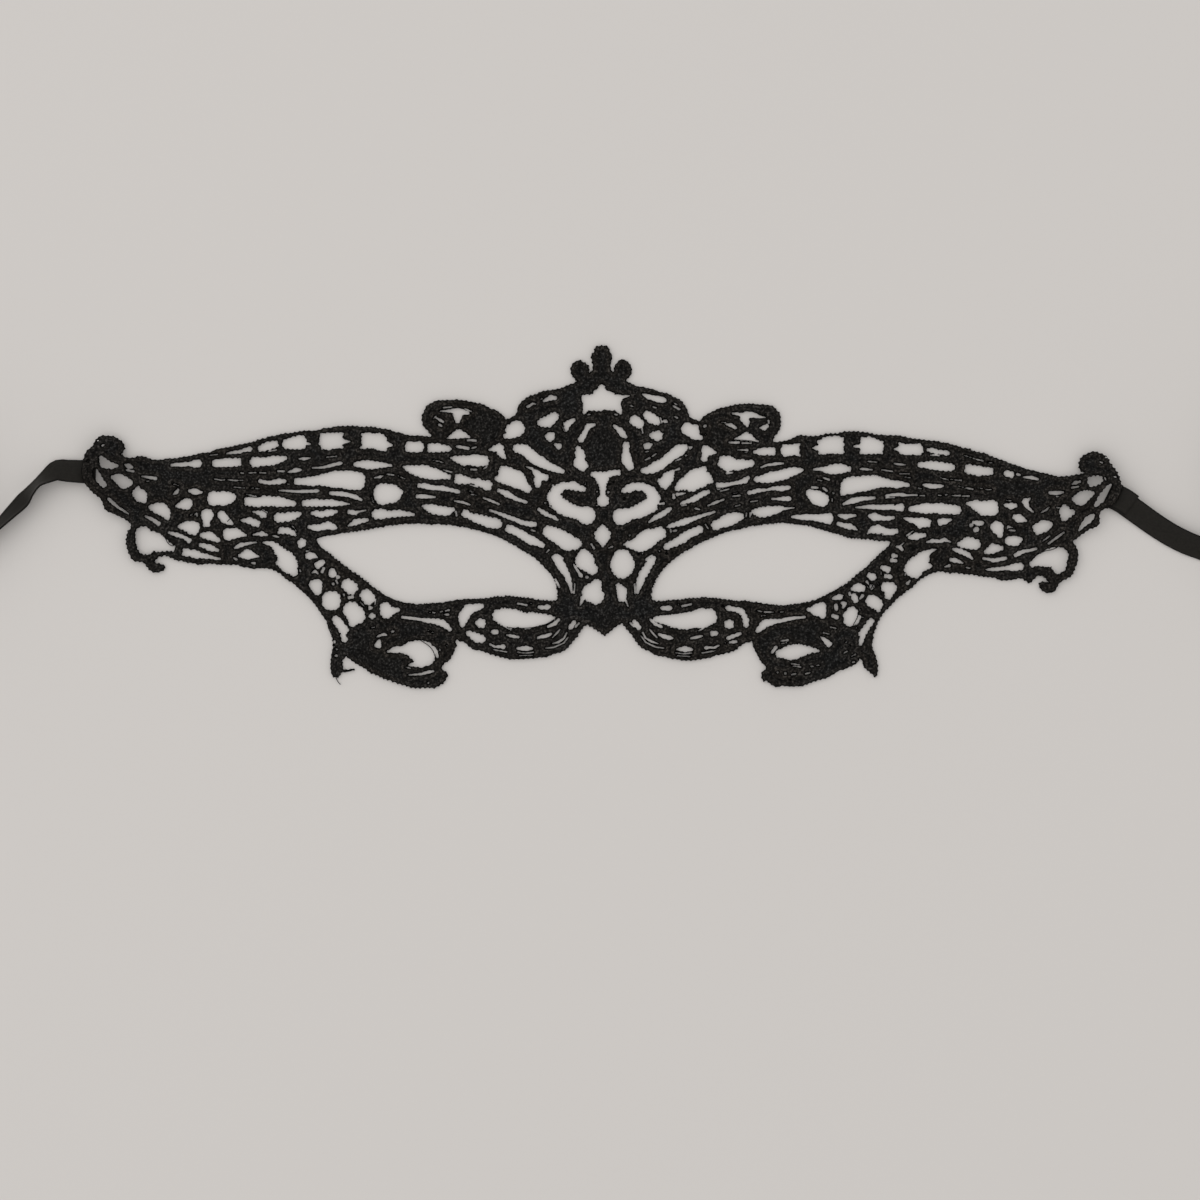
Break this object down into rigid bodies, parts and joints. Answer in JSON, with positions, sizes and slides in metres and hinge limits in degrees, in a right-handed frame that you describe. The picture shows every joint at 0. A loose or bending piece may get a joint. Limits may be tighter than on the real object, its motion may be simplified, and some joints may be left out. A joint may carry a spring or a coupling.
{
  "type": "lace masquerade mask",
  "caption": "Embroidered lace half mask for brow and cheeks, with open scrollwork, almond eye holes and a satin tie ribbon at each end, lying flat with its outer face up.",
  "frame": {"origin": "on the table, under the middle of the lace's own box", "axes": "+X along the mask to the right as its outer face is looked at, +Y to the brow, +Z out of the outer face, up from the table"},
  "size_m": [0.4385, 0.0866, 0.0061],
  "materials": {
    "embroidery_thread": "matt black embroidery thread",
    "satin_ribbon": "black satin ribbon with a faint sheen"
  },
  "bodies": {
    "root": {"lace": "embroidery_thread", "ribbon_left": "satin_ribbon", "ribbon_left_roll": "satin_ribbon", "ribbon_right": "satin_ribbon", "ribbon_right_roll": "satin_ribbon"}
  },
  "joints": []
}
